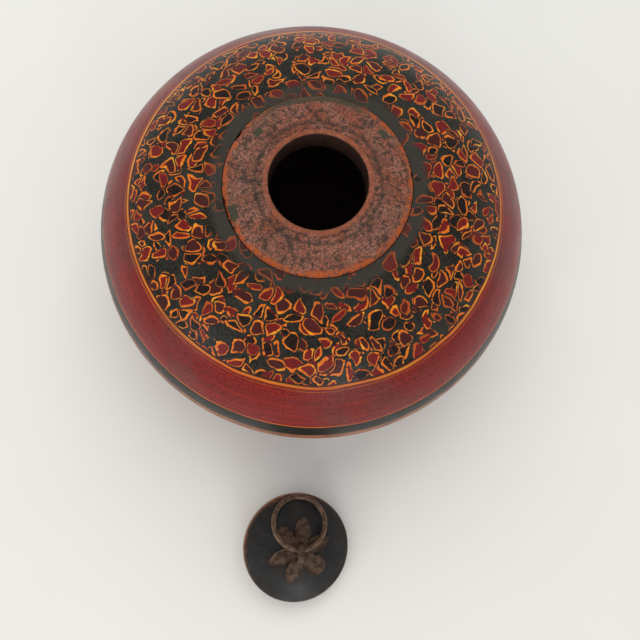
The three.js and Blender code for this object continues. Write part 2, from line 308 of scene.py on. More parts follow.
def wear_specks():
    """Small irregular specks and larger worn patches."""
    def build(graph, given, wanted):
        small = graph.noise(given["Point"], given["Scale"], 4.0, 0.65)[0]
        large = graph.noise(given["Point"], graph.math("MULTIPLY", given["Scale"], 0.13), 3.0)[0]
        low = graph.math("SUBTRACT", 0.62, graph.math("MULTIPLY", given["Density"], 0.14))
        high = graph.math("ADD", low, 0.07)
        graph.feed(wanted["Specks"], graph.step(small, low, high))
        graph.feed(wanted["Patches"], graph.step(large, 0.40, 0.64))
    return effect("wear_specks", [("Point", VECTOR), ("Scale", FLOAT), ("Density", FLOAT)],
                  [("Specks", FLOAT), ("Patches", FLOAT)], build)


def hand_polish():
    """Uneven gloss of rubbed lacquer, and the height of its fine grain."""
    def build(graph, given, wanted):
        smear = graph.noise(given["Point"], 0.09, 3.0)[0]
        grain = graph.noise(given["Point"], 1.7, 4.0, 0.7)[0]
        swing = graph.math("MULTIPLY", graph.math("SUBTRACT", smear, 0.5), given["Spread"])
        fine = graph.math("MULTIPLY", graph.math("SUBTRACT", grain, 0.5), 0.22)
        rough = graph.math("ADD", graph.math("ADD", given["Roughness"], swing), fine)
        graph.feed(wanted["Roughness"], graph.math("MAXIMUM", rough, 0.08))
        graph.feed(wanted["Grain"], grain)
    return effect("hand_polish", [("Point", VECTOR), ("Roughness", FLOAT), ("Spread", FLOAT)],
                  [("Roughness", FLOAT), ("Grain", FLOAT)], build)


def new_material(name):
    material = bpy.data.materials.new(name)
    material.use_nodes = True
    graph = Graph(material.node_tree)
    shader = material.node_tree.nodes["Principled BSDF"]
    place = graph.add("ShaderNodeTexCoord", {}).outputs["Object"]
    return material, graph, shader, place


def finish_shader(graph, shader, colour, roughness, height, depth, **constants):
    """Feeds the shader; height is a 0 to 1 relief that is depth metres deep."""
    bump = graph.add("ShaderNodeBump", {"Height": height, "Distance": depth, "Strength": 1.0})
    graph.feed(shader.inputs["Base Color"], colour)
    graph.feed(shader.inputs["Roughness"], roughness)
    graph.feed(shader.inputs["Normal"], bump.outputs[0])
    for name, value in constants.items():
        shader.inputs[name.replace("_", " ")].default_value = value


def flat_place(graph, point):
    """Unrolls the shoulder's dome onto the plane, keeping distances from the mouth."""
    apex = sizes().belly_height / MM + SHOULDER_RISE / MM
    slant = graph.vector("SUBTRACT", point, (0, 0, apex))
    chord = graph.add("ShaderNodeVectorMath", {0: slant}, operation="LENGTH").outputs["Value"]
    flat = graph.vector("MULTIPLY", point, (1, 1, 0))
    radius = graph.add("ShaderNodeVectorMath", {0: flat}, operation="LENGTH").outputs["Value"]
    return graph.times(flat, graph.math("DIVIDE", chord, radius))


def spot_layer():
    """One scatter of leaf-shaped spots: depth inside the outline, its width, random numbers."""
    def build(graph, given, wanted):
        place = graph.vector("ADD", given["Place"], given["Shift"])
        bend = graph.vector("SUBTRACT", graph.noise(place, 0.16, 0.0)[1], (0.5, 0.5, 0.5))
        place = graph.vector("ADD", place, graph.times(bend, 4.5))
        inputs = {"Vector": place, "Scale": 1 / SPOT_PITCH, "Randomness": 0.85}
        cell = graph.add("ShaderNodeTexVoronoi", inputs, voronoi_dimensions="2D").outputs
        border = graph.add("ShaderNodeTexVoronoi", inputs, voronoi_dimensions="2D",
                           feature="DISTANCE_TO_EDGE").outputs["Distance"]
        chance = graph.add("ShaderNodeSeparateColor", {0: cell["Color"]}).outputs
        local = graph.vector("SUBTRACT", place, cell["Position"])
        angle = graph.math("MULTIPLY", chance[0], math.tau)
        aligned = graph.add("ShaderNodeVectorRotate", {"Vector": local, "Angle": angle},
                            rotation_type="Z_AXIS").outputs[0]
        parts = graph.add("ShaderNodeSeparateXYZ", {0: aligned}).outputs
        second = graph.math("FRACT", graph.math("MULTIPLY", chance[0], 7.31))
        length = graph.math("ADD", 3.3, graph.math("MULTIPLY", chance[2], 1.7))
        width = graph.math("ADD", 1.6, graph.math("MULTIPLY", second, 1.7))
        hook = graph.math("MULTIPLY", graph.math("SUBTRACT", chance[1], 0.5), 0.16)
        curved = graph.math("MULTIPLY", hook, graph.math("POWER", parts[0], 2.0))
        across = graph.math("SUBTRACT", parts[1], curved)
        side = graph.math("DIVIDE", across, width)
        along = graph.math("POWER", graph.math("DIVIDE", parts[0], length), 2.0)
        leaf = graph.math("SUBTRACT", 1.0, graph.math("ADD", along, graph.math("ABSOLUTE", side)))
        depth = graph.math("MULTIPLY", leaf, width)
        uneven = graph.math("SUBTRACT", graph.noise(place, 0.42, 2.0)[0], 0.5)
        depth = graph.math("ADD", depth, graph.math("MULTIPLY", uneven, 1.7))
        ragged = graph.math("SUBTRACT", graph.noise(place, 1.5, 2.0)[0], 0.5)
        depth = graph.math("ADD", depth, graph.math("MULTIPLY", ragged, 0.5))
        edge = graph.math("MULTIPLY", border, SPOT_PITCH)
        depth = graph.math("MINIMUM", depth, graph.math("SUBTRACT", edge, 0.35))
        stroke = graph.math("ADD", 0.62, graph.math("MULTIPLY", side, 0.42))
        stroke = graph.math("ADD", stroke, graph.math("MULTIPLY", uneven, 0.9))
        stroke = graph.math("ADD", stroke, graph.math("MULTIPLY", ragged, 0.6))
        graph.feed(wanted["Depth"], depth)
        graph.feed(wanted["Stroke"], graph.math("MAXIMUM", stroke, 0.2))
        graph.feed(wanted["Chance"], cell["Color"])
    return effect("spot_layer", [("Place", VECTOR), ("Shift", VECTOR)],
                  [("Depth", FLOAT), ("Stroke", FLOAT), ("Chance", "NodeSocketColor")], build)


def painted_spots(graph, point, layer, near_collar):
    """Colour of one scatter of spots and where it covers the ground."""
    tint = colours()
    chance = graph.add("ShaderNodeSeparateColor", {0: layer["Chance"]}).outputs
    extra = graph.math("FRACT", graph.math("MULTIPLY", chance[1], 5.7))
    kept = graph.step(graph.math("ADD", near_collar, chance[1]), 0.45, 0.95)
    spot = graph.math("MULTIPLY", graph.step(layer["Depth"], 0.0, 0.16), kept)
    within = graph.math("SUBTRACT", layer["Depth"], layer["Stroke"])
    heart = graph.step(within, -0.08, 0.22)
    shade = graph.noise(point, 0.28, 2.0)[0]
    line = graph.mix(graph.step(shade, 0.52, 0.66), tint.orange, tint.yellow)
    dull = graph.mix(0.55, tint.orange, tint.crimson)
    line = graph.mix(graph.step(chance[2], 0.08, 0.35), dull, line)
    broken = graph.step(graph.noise(point, 0.3, 1.0)[0], 0.60, 0.66)
    line = graph.mix(broken, line, tuple(0.7 * c for c in tint.crimson))
    line = graph.mix(graph.step(near_collar, 0.9, 0.2), line, dull)
    maroon = (0.060, 0.0115, 0.0100)
    middle = graph.mix(graph.step(extra, 0.30, 0.36), tint.black, maroon)
    middle = graph.mix(graph.step(extra, 0.55, 0.62), middle, tint.crimson)
    smoke = graph.step(graph.noise(point, 0.8, 4.0)[0], 0.42, 0.70)
    middle = graph.mix(graph.math("MULTIPLY", smoke, 0.6), middle, maroon)
    return graph.mix(heart, line, middle), spot


def spotted_ground(graph, point, radius, level):
    """Black ground with crimson spots in broken yellow and orange outlines."""
    tint = colours()
    place = flat_place(graph, point)
    near_collar = graph.step(radius, 40.0, 52.0)
    first = graph.use(spot_layer(), Place=place, Shift=(0, 0, 0))
    second = graph.use(spot_layer(), Place=place, Shift=(431.0, 217.0, 0))
    fine = graph.step(graph.noise(point, 0.9, 4.0, 0.7)[0], 0.38, 0.66)
    colour = graph.mix(fine, tint.black, (0.030, 0.028, 0.021))
    dust = graph.step(graph.noise(point, 0.06, 3.0)[0], 0.42, 0.66)
    dusty = graph.math("ADD", graph.math("MULTIPLY", dust, 0.45),
                       graph.step(near_collar, 0.5, 0.0))
    colour = graph.mix(graph.math("MINIMUM", dusty, 0.8), colour, (0.046, 0.042, 0.034))
    clear = graph.step(level, SPOT_EDGE + 0.7, SPOT_EDGE + 1.3)
    rubbed = graph.math("MULTIPLY", clear,
                        graph.math("ADD", 0.6, graph.math("MULTIPLY", near_collar, 0.38)))
    under, spot_under = painted_spots(graph, point, second, near_collar)
    gap = graph.step(first["Depth"], -0.45, -0.75)
    spot_under = graph.math("MULTIPLY", graph.math("MULTIPLY", spot_under, gap), rubbed)
    colour = graph.mix(spot_under, colour, under)
    over, spot_over = painted_spots(graph, point, first, near_collar)
    spot_over = graph.math("MULTIPLY", spot_over, rubbed)
    return graph.mix(spot_over, colour, over), graph.math("MAXIMUM", spot_under, spot_over)


def stripe(graph, value, centre, half, soft=0.22):
    """1 within a stripe of a coordinate, soft at its sides."""
    off = graph.math("ABSOLUTE", graph.math("SUBTRACT", value, centre))
    return graph.step(off, half + soft, half - soft)


def body_material(name, spotted):
    """Lacquer bands by height from the belly; the upper half has the spotted zone."""
    tint = colours()
    material, graph, shader, place = new_material(name)
    lathe = graph.use(lathe_place(), Place=place)
    point = lathe["Point"]
    streaks = graph.use(turning_streaks(), Turn=lathe["Turn"])
    worn = graph.use(wear_specks(), Point=point, Scale=0.9, Density=0.6)
    belly = sizes().belly_height / MM
    wander = graph.math("SUBTRACT", graph.noise(point, 0.05, 2.0)[0], 0.5)
    level = graph.math("ABSOLUTE", graph.math("SUBTRACT", lathe["Height"], belly))
    level = graph.math("ADD", level, graph.math("MULTIPLY", wander, 1.1))

    dark_red = tuple(0.36 * c for c in tint.crimson)
    red = graph.mix(graph.math("MULTIPLY", streaks["Fine"], 0.6), tint.crimson, dark_red)
    red = graph.mix(graph.math("MULTIPLY", streaks["Broad"], 0.55), red, (0.30, 0.014, 0.009))
    cloud = graph.step(graph.noise(point, 0.03, 2.0)[0], 0.44, 0.64)
    red = graph.mix(graph.math("MULTIPLY", cloud, 0.6), red, (0.125, 0.032, 0.026))
    scuffed = graph.math("MULTIPLY", worn["Specks"], 0.55)
    red = graph.mix(scuffed, red, tuple(0.5 * c for c in dark_red))

    if spotted:
        top, spot = spotted_ground(graph, point, lathe["Radius"], level)
    else:
        spot = graph.math("MULTIPLY", streaks["Fine"], 0.3)
        top = graph.mix(streaks["Broad"], tint.black, tuple(0.3 * c for c in tint.crimson))
    colour = graph.mix(graph.step(level, SPOT_EDGE - 0.25, SPOT_EDGE + 0.25), red, top)

    dash = graph.step(graph.noise(lathe["Turn"], 3.0, 2.0)[0], 0.34, 0.5)
    gold = graph.mix(streaks["Broad"], tint.orange, tint.yellow)
    for offset, half, strength in ((0.0, 0.42, 0.95), (-1.3, 0.16, 0.4)):
        line = stripe(graph, level, SPOT_EDGE + offset, half)
        share = graph.math("MULTIPLY", graph.math("MULTIPLY", line, dash), strength)
        colour = graph.mix(share, colour, gold)
    between = stripe(graph, level, SPOT_EDGE + 0.9, 0.25)
    colour = graph.mix(graph.math("MULTIPLY", between, 0.7), colour, dark_red)

    black = graph.mix(graph.math("MULTIPLY", streaks["Fine"], 0.4), tint.black, (0.028, 0.024, 0.016))
    colour = graph.mix(graph.step(level, ORANGE_LINE + 0.2, ORANGE_LINE - 0.2), colour, black)
    line = graph.math("MULTIPLY", stripe(graph, level, ORANGE_LINE, LINE_HALF), dash)
    colour = graph.mix(line, colour, tint.orange)
    smudge = graph.math("MULTIPLY", streaks["Fine"], 0.7)
    clay = graph.mix(smudge, tint.tan, tuple(0.35 * c for c in tint.tan))
    clay = graph.mix(worn["Patches"], clay, tuple(0.55 * c for c in tint.tan))
    for height in (1.6, 3.4, 5.3):
        groove = graph.math("MULTIPLY", stripe(graph, level, height, 0.18), 0.6)
        clay = graph.mix(groove, clay, tuple(0.25 * c for c in tint.tan))
    colour = graph.mix(graph.step(level, TAN_EDGE + 0.3, TAN_EDGE - 0.3), colour, clay)

    polish = graph.use(hand_polish(), Point=point, Roughness=0.31, Spread=0.25)
    relief = graph.math("ADD", graph.math("MULTIPLY", polish["Grain"], 0.5),
                        graph.math("MULTIPLY", spot, 0.22))
    relief = graph.math("ADD", relief, graph.math("MULTIPLY", streaks["Fine"], -0.18))
    finish_shader(graph, shader, colour, polish["Roughness"], relief, 0.12 * MM,
                  Specular_IOR_Level=0.2)
    return material


def wood_material():
    """Bare, smoke-darkened wood inside, with turning marks."""
    tint = colours()
    material, graph, shader, place = new_material("inside_wood")
    lathe = graph.use(lathe_place(), Place=place)
    streaks = graph.use(turning_streaks(), Turn=lathe["Turn"])
    stretch = graph.vector("MULTIPLY", lathe["Point"], (0.05, 0.6, 0.6))
    fibre = graph.noise(stretch, 1.0, 4.0)[0]
    dark = tuple(0.4 * c for c in tint.wood)
    colour = graph.mix(fibre, tint.wood, dark)
    colour = graph.mix(graph.math("MULTIPLY", streaks["Fine"], 0.5), colour, dark)
    polish = graph.use(hand_polish(), Point=lathe["Point"], Roughness=0.68, Spread=0.2)
    relief = graph.math("ADD", polish["Grain"], graph.math("MULTIPLY", streaks["Fine"], 0.7))
    finish_shader(graph, shader, colour, polish["Roughness"], relief, 0.1 * MM)
    return material


def angle_window(graph, place, middle, half):
    """1 on the side of the box that faces a direction, fading at half its width."""
    flat = graph.vector("MULTIPLY", place, (1, 1, 0))
    way = graph.add("ShaderNodeVectorMath", {0: flat}, operation="NORMALIZE").outputs[0]
    aim = (math.cos(math.radians(middle)), math.sin(math.radians(middle)), 0)
    facing = graph.add("ShaderNodeVectorMath", {0: way, 1: aim}, operation="DOT_PRODUCT")
    edge = math.cos(math.radians(half))
    soft = 0.6 * (1 - edge)
    return graph.step(facing.outputs["Value"], edge - soft, edge + soft)


def collar_material():
    """Brick-red lacquer, rubbed by the lid's seat, with an orange edge and dark wear."""
    tint = colours()
    material, graph, shader, place = new_material("worn_collar_lacquer")
    lathe = graph.use(lathe_place(), Place=place)
    point = lathe["Point"]
    radius = lathe["Radius"]
    streaks = graph.use(turning_streaks(), Turn=lathe["Turn"])
    worn = graph.use(wear_specks(), Point=point, Scale=1.15, Density=1.0)
    coarse = graph.use(wear_specks(), Point=point, Scale=0.42, Density=0.75)
    grey = (0.05, 0.042, 0.034)
    pale = (0.36, 0.135, 0.085)
    colour = graph.mix(worn["Patches"], tint.brick, pale)
    colour = graph.mix(graph.math("MULTIPLY", coarse["Patches"], 0.5), colour, (0.22, 0.115, 0.082))
    colour = graph.mix(graph.math("MULTIPLY", streaks["Fine"], 0.35), colour, grey)
    wander = graph.math("MULTIPLY", graph.math("SUBTRACT", graph.noise(point, 0.12)[0], 0.5), 2.4)
    seat = stripe(graph, graph.math("ADD", radius, wander), 25.6, 0.7, 0.6)
    colour = graph.mix(graph.math("MULTIPLY", seat, 0.6), colour, (0.045, 0.027, 0.018))
    colour = graph.mix(graph.math("MULTIPLY", worn["Specks"], 0.65), colour, grey)
    colour = graph.mix(graph.math("MULTIPLY", coarse["Specks"], 0.7), colour, (0.03, 0.026, 0.02))
    edge = sizes().collar_radius / MM
    rim = graph.step(graph.math("ADD", radius, wander), edge - 3.0, edge - 1.2)
    bare = graph.step(graph.noise(point, 0.45, 3.0)[0], 0.38, 0.55)
    colour = graph.mix(graph.math("MULTIPLY", rim, bare), colour, (0.42, 0.085, 0.016))
    mouth = sizes().mouth_radius / MM
    bead = stripe(graph, radius, mouth + 1.3, 0.9, 0.5)
    colour = graph.mix(graph.math("MULTIPLY", bead, 0.6), colour, (0.36, 0.095, 0.04))
    # Painted shade: the mouth's inner wall is coloured near-black brown, darker than the bare wood, for
    # the shade inside the opening.
    inner = graph.step(radius, mouth + 0.5, mouth + 0.1)
    colour = graph.mix(graph.math("MULTIPLY", inner, 0.9), colour, (0.022, 0.013, 0.009))
    lap = graph.math("MULTIPLY", angle_window(graph, place, *LACQUER_LAP),
                     graph.step(graph.math("ADD", radius, graph.math("MULTIPLY", wander, 1.6)),
                                edge - 3.6, edge - 2.4))
    green = (0.058, 0.056, 0.032)
    colour = graph.mix(graph.math("MULTIPLY", lap, 0.9), colour, green)
    for angle, half, inward in ((-146, 5, 2.4), (152, 3.5, 6.0), (52, 4, 4.5)):
        flake = graph.math("MULTIPLY", angle_window(graph, place, angle, half),
                           stripe(graph, graph.math("ADD", radius, wander), edge - inward, 1.5))
        colour = graph.mix(flake, colour, green)
    polish = graph.use(hand_polish(), Point=point, Roughness=0.5, Spread=0.2)
    relief = graph.math("SUBTRACT", polish["Grain"], graph.math("MULTIPLY", worn["Specks"], 0.5))
    relief = graph.math("SUBTRACT", relief, graph.math("MULTIPLY", streaks["Fine"], 0.3))
    finish_shader(graph, shader, colour, polish["Roughness"], relief, 0.22 * MM,
                  Specular_IOR_Level=0.35)
    return material


def lid_place(graph, place):
    """The lid's own coordinates, level and centred on its axis."""
    inputs = {"Vector": place, "Location": LID.to_translation(), "Rotation": LID.to_euler()}
    return graph.add("ShaderNodeMapping", inputs, vector_type="TEXTURE").outputs[0]


def lid_material():
    """Brown-black lacquer, worn to brown wood on the rim and the seat; a painted highlight makes the
    rim's brown stronger on the side towards the key lamp.
    """
    tint = colours()
    material, graph, shader, place = new_material("lid_lacquer")
    lathe = graph.use(lathe_place(), Place=lid_place(graph, place))
    point = lathe["Point"]
    streaks = graph.use(turning_streaks(), Turn=lathe["Turn"])
    worn = graph.use(wear_specks(), Point=point, Scale=1.3, Density=0.7)
    brown = (0.26, 0.095, 0.038)
    colour = graph.mix(worn["Patches"], tint.lid, (0.020, 0.018, 0.015))
    colour = graph.mix(graph.math("MULTIPLY", streaks["Fine"], 0.3), colour, (0.024, 0.018, 0.013))
    ragged = graph.math("MULTIPLY", graph.math("SUBTRACT", graph.noise(point, 0.3)[0], 0.5), 2.0)
    flank = graph.step(graph.math("ADD", lathe["Height"], ragged), 5.6, 3.9)
    rim = graph.math("MULTIPLY", flank, graph.step(lathe["Radius"], 19.5, 24.5))
    # The rim's brown is wear all round, painted stronger on the side towards the key lamp as a painted
    # highlight.
    share = graph.blend(angle_window(graph, point, 138, 62), 0.28, 0.95)
    colour = graph.mix(graph.math("MULTIPLY", rim, share), colour, brown)
    below = graph.step(lathe["Height"], 0.6, -0.2)
    colour = graph.mix(graph.math("MULTIPLY", below, 0.7), colour, tint.wood)
    colour = graph.mix(graph.math("MULTIPLY", worn["Specks"], 0.35), colour, (0.032, 0.025, 0.019))
    polish = graph.use(hand_polish(), Point=point, Roughness=0.36, Spread=0.25)
    relief = graph.math("SUBTRACT", polish["Grain"], graph.math("MULTIPLY", streaks["Fine"], 0.4))
    finish_shader(graph, shader, colour, polish["Roughness"], relief, 0.1 * MM,
                  Specular_IOR_Level=0.45)
    return material


def metal_material(name, rubbed, dull):
    """Aged metal in random blotches of dull and rubbed tone, with dark worn specks; fittings that
    fingers reach are given brighter tones by their caller.
    """
    tint = colours()
    material, graph, shader, place = new_material(name)
    lathe = graph.use(lathe_place(), Place=lid_place(graph, place))
    point = lathe["Point"]
    worn = graph.use(wear_specks(), Point=point, Scale=1.8, Density=0.8)
    bright = tuple(rubbed * c for c in tint.metal)
    dark = tuple(dull * c for c in tint.metal)
    cloud = graph.step(graph.noise(point, 0.35, 4.0)[0], 0.38, 0.62)
    colour = graph.mix(cloud, dark, bright)
    colour = graph.mix(graph.math("MULTIPLY", worn["Specks"], 0.6), colour, (0.05, 0.032, 0.022))
    rough = graph.math("ADD", 0.36, graph.math("MULTIPLY", worn["Specks"], 0.3))
    metallic = graph.blend(worn["Specks"], 0.85, 0.35)
    graph.feed(shader.inputs["Metallic"], metallic)
    relief = graph.math("SUBTRACT", graph.noise(point, 1.4, 5.0, 0.65)[0],
                        graph.math("MULTIPLY", worn["Specks"], 0.4))
    finish_shader(graph, shader, colour, rough, relief, 0.16 * MM)
    return material


def fitting_material(name, rubbed, dull):
    """The named metal finish, made once."""
    return bpy.data.materials.get(name) or metal_material(name, rubbed, dull)


def curve_points(from_z, to_z, radius, rise, powers, steps):
    """Points of a superellipse of revolution between two heights from the belly."""
    p, q = powers
    side = -1 if from_z + to_z < 0 else 1

    def sweep(z):
        return math.asin(min(1, abs(z / rise) ** (q / 2)))

    points = []
    for i in range(steps + 1):
        t = sweep(from_z) + (sweep(to_z) - sweep(from_z)) * i / steps
        r = radius * max(0, math.cos(t)) ** (2 / p)
        points.append((r, side * rise * math.sin(t) ** (2 / q)))
    return points


def height_at(r, radius, rise, powers):
    p, q = powers
    return rise * (1 - (r / radius) ** p) ** (1 / q)


def arc_points(centre, radius, start, end, steps):
    """Arc in the profile plane, angles in degrees from the radial direction."""
    turns = [math.radians(start + (end - start) * i / steps) for i in range(steps + 1)]
    return [(centre[0] + radius * math.cos(t), centre[1] + radius * math.sin(t)) for t in turns]


def start_line(name, point):
    """New mesh of one vertex, left in edit mode with the vertex selected."""
    bpy.ops.object.select_all(action="DESELECT")
    bpy.ops.mesh.primitive_plane_add(size=MM, location=point)
    piece = bpy.context.object
    piece.name = name
    piece.data.name = name
    bpy.ops.object.transform_apply(location=True)
    bpy.ops.object.mode_set(mode="EDIT")
    bpy.ops.mesh.select_all(action="SELECT")
    bpy.ops.mesh.merge(type="CENTER")
    return piece


def draw_line(points):
    """Extrudes the selected vertex along the points; the first is where it already is."""
    for before, after in zip(points, points[1:]):
        step = Vector(after) - Vector(before)
        bpy.ops.mesh.extrude_region_move(TRANSFORM_OT_translate={"value": step})


def tidy_faces(angle=35, merge=True):
    """Merges doubles, turns the normals out and leaves edit mode smooth-shaded."""
    bpy.ops.mesh.select_all(action="SELECT")
    if merge:
        bpy.ops.mesh.remove_doubles(threshold=0.002 * MM)
    bpy.ops.mesh.normals_make_consistent(inside=False)
    bpy.ops.object.mode_set(mode="OBJECT")
    bpy.ops.object.shade_smooth_by_angle(angle=math.radians(angle))


def turn_piece(name, profile, closed, height=0.0):
    """Solid turned about +Z from (radius, height) points."""
    points = [(r, 0, z + height) for r, z in profile]
    piece = start_line(name, points[0])
    if closed:
        points.append(points[0])
    draw_line(points)
    bpy.ops.mesh.select_all(action="SELECT")
    bpy.ops.mesh.spin(steps=sizes().turned_sides, angle=math.tau, center=(0, 0, 0), axis=(0, 0, 1))
    tidy_faces()
    return piece


def apply_modifier(piece, kind, **settings):
    modifier = piece.modifiers.new(kind.title(), kind)
    for name, value in settings.items():
        setattr(modifier, name, value)
    bpy.context.view_layer.objects.active = piece
    bpy.ops.object.modifier_apply(modifier=modifier.name)


def unevenness(piece, depth, size):
    """Slight hand-made waviness, applied to the mesh."""
    cloud = bpy.data.textures.new(piece.name + "_waviness", "CLOUDS")
    cloud.noise_scale = size
    apply_modifier(piece, "DISPLACE", texture=cloud, strength=depth, mid_level=0.5)


def finish_piece(piece, body, slot, materials, *nodes):
    """Gives a piece its materials and its body, and hides the CAD parts it stands for; the slot is not
    used.
    """
    for material in materials:
        piece.data.materials.append(material)
    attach(piece, body)
    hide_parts(*(nodes or (piece.name.removesuffix("_piece"),)))


def line_inside(piece, outer_radius):
    """Gives the faces that lie inside the wall the second material."""
    for face in piece.data.polygons:
        middle = face.center
        face.material_index = int(math.hypot(middle.x, middle.y) < outer_radius(middle.z))


class BOX_OT_bowl(bpy.types.Operator):
    """Turn the lower half of the body"""

    bl_idname = "lidded_box.bowl"
    bl_label = "Bowl"

    def execute(self, context):
        size = sizes()
        inner = size.belly_radius - WALL
        depth = size.belly_height - FLOOR_THICKNESS
        tongue = inner + TONGUE[0]
        eased = 0.5 * MM
        outside = curve_points(-size.belly_height, -eased, size.belly_radius, BOWL_DEPTH,
                               BOWL_POWERS, 48)
        profile = [(0, -size.belly_height), (0.5 * outside[0][0], -size.belly_height), *outside,
                   (size.belly_radius - 0.15 * MM, -0.2 * MM), (size.belly_radius - eased, 0),
                   (tongue, 0), (tongue, TONGUE[1]), (inner, TONGUE[1])]
        profile += curve_points(-0.0, -depth, inner, depth, BOWL_POWERS, 32)[1:]
        piece = turn_piece("bowl_piece", profile, False, size.belly_height)
        cut = size.belly_height - 0.1 * MM

        def wall_line(z):
            if z > cut:
                return size.belly_radius - 0.6 * MM
            share = min(1.0, (size.belly_height - z) / BOWL_DEPTH)
            shell = size.belly_radius * (1 - share ** BOWL_POWERS[1]) ** (1 / BOWL_POWERS[0])
            return shell - 4 * MM if z > 2 * MM else 0

        line_inside(piece, wall_line)
        finish_piece(piece, "jar", "red_lacquer",
                     [body_material("red_lacquer", False), wood_material()])
        return {"FINISHED"}


class BOX_OT_shoulder(bpy.types.Operator):
    """Turn the upper half of the body"""

    bl_idname = "lidded_box.shoulder"
    bl_label = "Shoulder"

    def execute(self, context):
        size = sizes()
        inner = size.belly_radius - WALL
        inner_rise = SHOULDER_RISE - WALL
        recess = size.collar_radius + SEAT_GAP
        hole = size.mouth_radius + NECK_WALL + SEAT_GAP
        groove = inner + TONGUE[0] + SEAT_GAP
        rim_z = height_at(recess, size.belly_radius, SHOULDER_RISE, SHOULDER_POWERS)
        neck_z = height_at(hole, inner, inner_rise, SHOULDER_POWERS)
        eased = 0.5 * MM
        outside = curve_points(SEAT_GAP + eased, rim_z, size.belly_radius, SHOULDER_RISE,
                               SHOULDER_POWERS, 60)
        profile = [*outside, (recess, rim_z - COLLAR_INSET), (hole, rim_z - COLLAR_INSET),
                   *curve_points(neck_z, TONGUE[1] + SEAT_GAP, inner, inner_rise,
                                 SHOULDER_POWERS, 28),
                   (groove, TONGUE[1] + SEAT_GAP), (groove, SEAT_GAP),
                   (size.belly_radius - eased, SEAT_GAP)]
        piece = turn_piece("shoulder_piece", profile, True, size.belly_height)

        def wall_line(z):
            rise = z - size.belly_height
            if rise < 0.35 * MM:
                return size.belly_radius - 0.6 * MM
            share = min(1.0, rise / SHOULDER_RISE)
            p, q = SHOULDER_POWERS
            return size.belly_radius * (1 - share ** q) ** (1 / p) - 2.5 * MM

        line_inside(piece, wall_line)
        wood = bpy.data.materials.get("inside_wood") or wood_material()
        finish_piece(piece, "jar", "spotted_lacquer", [body_material("spotted_lacquer", True), wood])
        return {"FINISHED"}


def chip_edge(piece, top_z):
    """Breaks the collar's edge: vertices near each chip sink and draw in, unevenly."""
    for vertex in piece.data.vertices:
        x, y, z = vertex.co
        radius = math.hypot(x, y)
        near_edge = max(0.0, 1 - (sizes().collar_radius - radius) / (2.6 * MM))
        if near_edge > 0 and z > top_z - 3 * MM:
            angle = math.degrees(math.atan2(y, x))
            for middle, half, depth in COLLAR_CHIPS:
                away = abs((angle - middle + 180) % 360 - 180) / half
                if away < 1:
                    rough = 0.65 + 0.7 * noise.noise(vertex.co * 900)
                    bite = depth * MM * near_edge * (1 - away ** 2) * rough
                    vertex.co.z -= bite
                    vertex.co.x -= 0.8 * bite * x / radius
                    vertex.co.y -= 0.8 * bite * y / radius


class BOX_OT_collar(bpy.types.Operator):
    """Turn the collar that forms the mouth, with its bead, and chip its edge"""

    bl_idname = "lidded_box.collar"
    bl_label = "Collar"

    def execute(self, context):
        size = sizes()

        def top(r):
            return height_at(r, size.belly_radius, SHOULDER_RISE, SHOULDER_POWERS) + COLLAR_STEP

        inner = size.belly_radius - WALL
        neck = size.mouth_radius + NECK_WALL
        rim_z = top(size.collar_radius + SEAT_GAP) - COLLAR_STEP
        neck_z = height_at(neck + SEAT_GAP, inner, SHOULDER_RISE - WALL, SHOULDER_POWERS)
        seat_z = rim_z - COLLAR_INSET + SEAT_GAP
        edge = size.collar_radius - COLLAR_EDGE
        bead_width, bead_height = BEAD
        bead_middle = size.mouth_radius + bead_width / 2
        bead_z = top(bead_middle)
        steps = 24
        spread = size.mouth_radius + bead_width - edge
        surface = [edge + spread * i / steps for i in range(1, steps + 1)]
        bead = [(bead_middle + math.cos(t) * bead_width / 2, bead_z + math.sin(t) * bead_height)
                for t in (math.radians(25 + 14 * i) for i in range(11))]
        profile = [(neck, neck_z), (neck, seat_z), (size.collar_radius, seat_z),
                   *arc_points((edge, top(edge) - COLLAR_EDGE), COLLAR_EDGE, 0, 90, 10),
                   *((r, top(r)) for r in surface), *bead,
                   (size.mouth_radius, bead_z - bead_height),
                   (size.mouth_radius, bead_z - 3 * bead_height),
                   (size.mouth_radius, neck_z + 0.4 * MM), (size.mouth_radius + 0.4 * MM, neck_z)]
        piece = turn_piece("collar_piece", profile, True, size.belly_height)
        chip_edge(piece, size.belly_height + top(edge))
        finish_piece(piece, "jar", "worn_collar_lacquer", [collar_material()])
        return {"FINISHED"}


def dome_height(r, offset=0.0):
    return DOME_CENTRE + math.sqrt((DOME_RADIUS + offset) ** 2 - r ** 2)


class BOX_OT_lid_disc(bpy.types.Operator):
    """Turn the domed lid with its plug"""

    bl_idname = "lidded_box.lid_disc"
    bl_label = "Lid disc"

    def execute(self, context):
        steps = 28
        radii = [PIN_BORE + (DOME_EDGE - PIN_BORE) * i / steps for i in range(steps + 1)]
        seat_inner = DOME_EDGE - SEAT_WIDTH
        ease = 0.3 * MM
        profile = [*((r, dome_height(r)) for r in radii),
                   *arc_points((DOME_EDGE, LID_FLANK), LID_EDGE, 65, 0, 8),
                   (LID_RADIUS, LID_EDGE), (DOME_EDGE, 0), (seat_inner, 0),
                   (seat_inner, SEAT_RELIEF), (PLUG_RADIUS, SEAT_RELIEF),
                   (PLUG_RADIUS, -PLUG_DEPTH + ease), (PLUG_RADIUS - ease / 3, -PLUG_DEPTH),
                   (PLUG_RADIUS / 2, -PLUG_DEPTH), (PIN_BORE, -PLUG_DEPTH)]
        piece = turn_piece("lid_disc_piece", profile, True)
        unevenness(piece, 0.16 * MM, 9 * MM)
        piece.data.transform(LID)
        finish_piece(piece, "lid", "lid_lacquer", [lid_material()])
        return {"FINISHED"}


